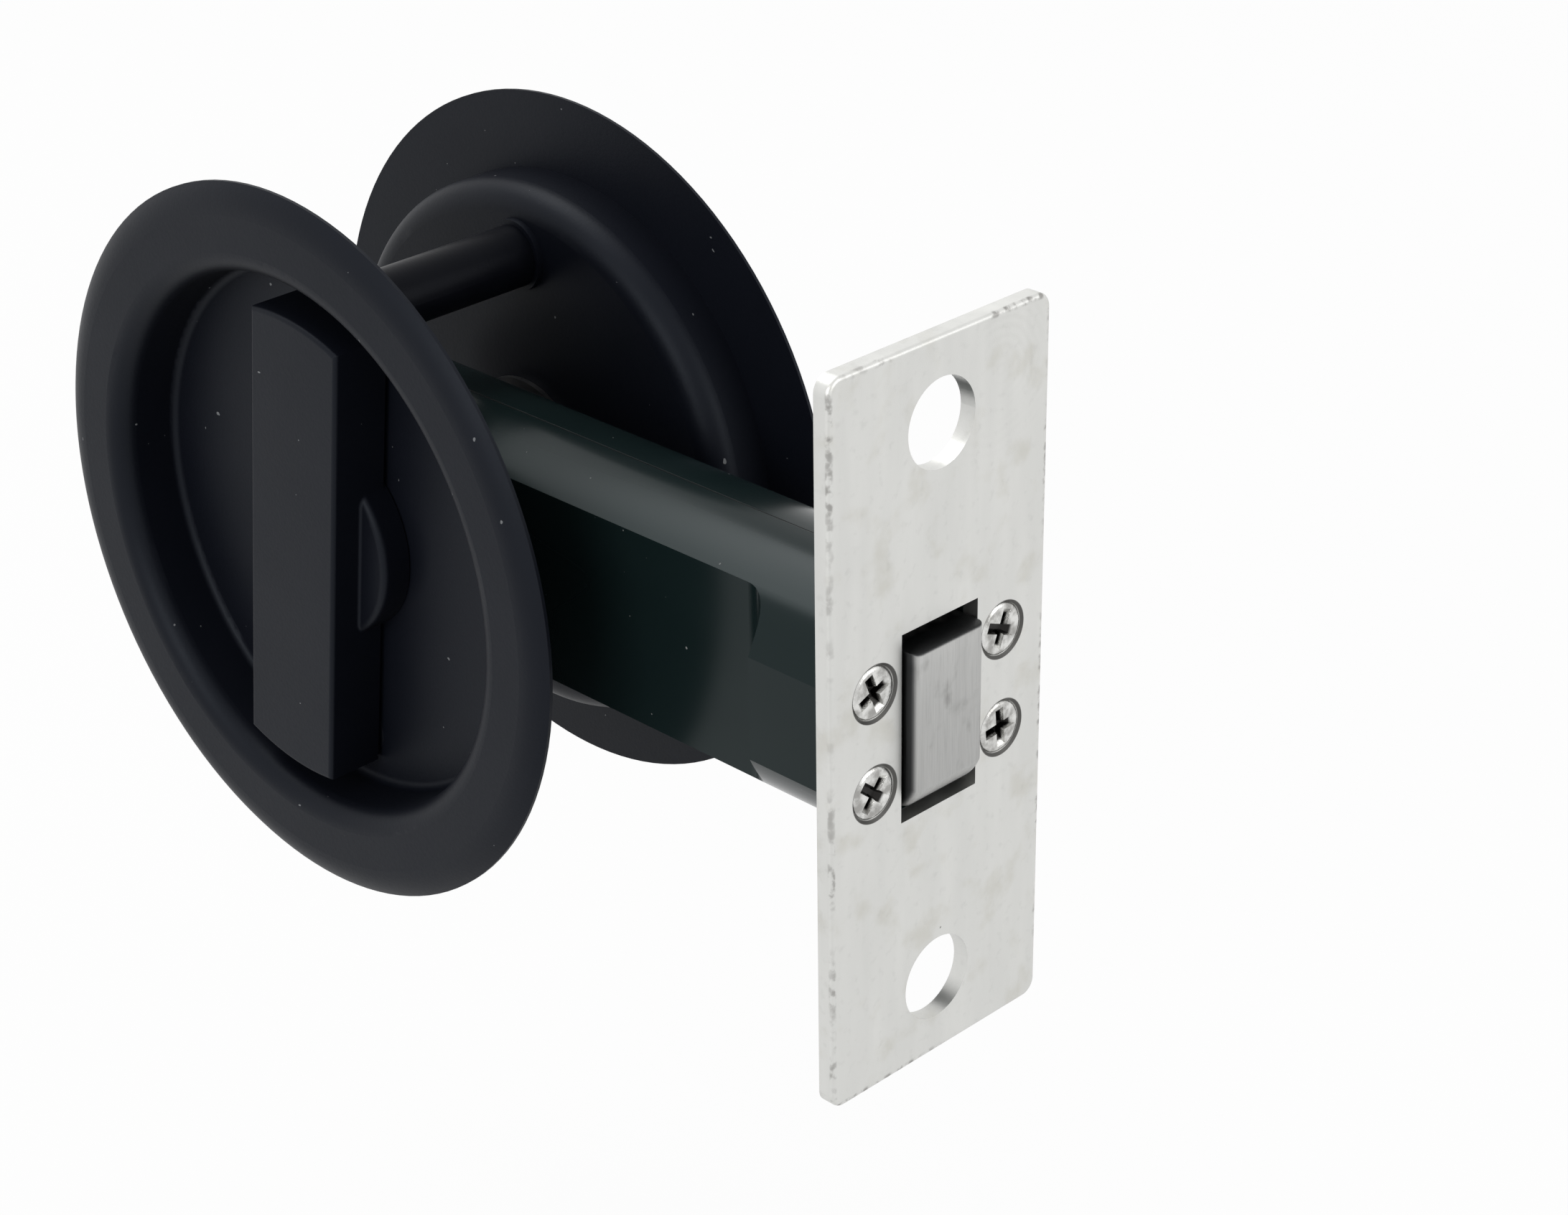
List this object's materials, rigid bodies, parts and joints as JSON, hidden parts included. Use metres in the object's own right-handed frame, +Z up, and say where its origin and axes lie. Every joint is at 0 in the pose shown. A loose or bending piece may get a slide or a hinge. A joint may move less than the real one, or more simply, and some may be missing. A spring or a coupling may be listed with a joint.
{
  "type": "cavity sliding door lock",
  "caption": "Privacy lock for a sliding door: round flush pulls with a turn bar and a release, a tubular latch case and a swinging hook behind a face plate.",
  "frame": {"origin": "centre of the face plate's front face", "axes": "+X out of the door's edge, +Y through the door from the turn bar to the release side, +Z up"},
  "size_m": [0.0937, 0.0344, 0.065],
  "materials": {
    "black_coat": "matte black powder coat",
    "case_plastic": "green-black, moulded, glossy",
    "plate_nickel": "satin nickel",
    "screw_nickel": "bright nickel plated",
    "bolt_zinc": "grey, brushed up and down",
    "inner_steel": "zinc plated",
    "spring_steel": "blued spring steel",
    "hub_zinc": "die cast zinc"
  },
  "bodies": {
    "lock": {"face_plate": "plate_nickel", "plate_screws": "screw_nickel", "case_near_half": "case_plastic", "case_far_half": "case_plastic", "case_screws": "inner_steel", "detent_spring": "spring_steel", "turn_rose": "black_coat", "release_rose": "black_coat", "fixing_posts": "black_coat", "rose_screws": "black_coat"},
    "turn": {"turn_bar": "black_coat", "turn_washer": "spring_steel", "turn_circlip": "spring_steel", "spindle": "inner_steel", "hub": "hub_zinc", "release_button": "black_coat", "release_washer": "spring_steel", "release_circlip": "spring_steel"},
    "slide": {"slide_plate": "inner_steel"},
    "hook": {"hook_bolt": "bolt_zinc", "hook_drive_pin": "inner_steel"}
  },
  "joints": [
    {"name": "snib_turn", "type": "hinge", "parent": "lock", "child": "turn", "pos_m": [-0.06, 0, 0], "axis": [0, 1, 0], "range_deg": [0, 90]},
    {"name": "slide_travel", "type": "slide", "parent": "lock", "child": "slide", "axis": [1, 0, 0], "range_m": [0, 0.00849]},
    {"name": "hook_swing", "type": "hinge", "parent": "lock", "child": "hook", "pos_m": [-0.003, 0, -0.0037], "axis": [0, 1, 0], "range_deg": [0, 90]}
  ],
  "couplings": [
    {"joint": "slide_travel", "follows": "snib_turn", "m_per_rad": 0.0054019},
    {"joint": "hook_swing", "follows": "snib_turn", "ratio": 1}
  ]
}
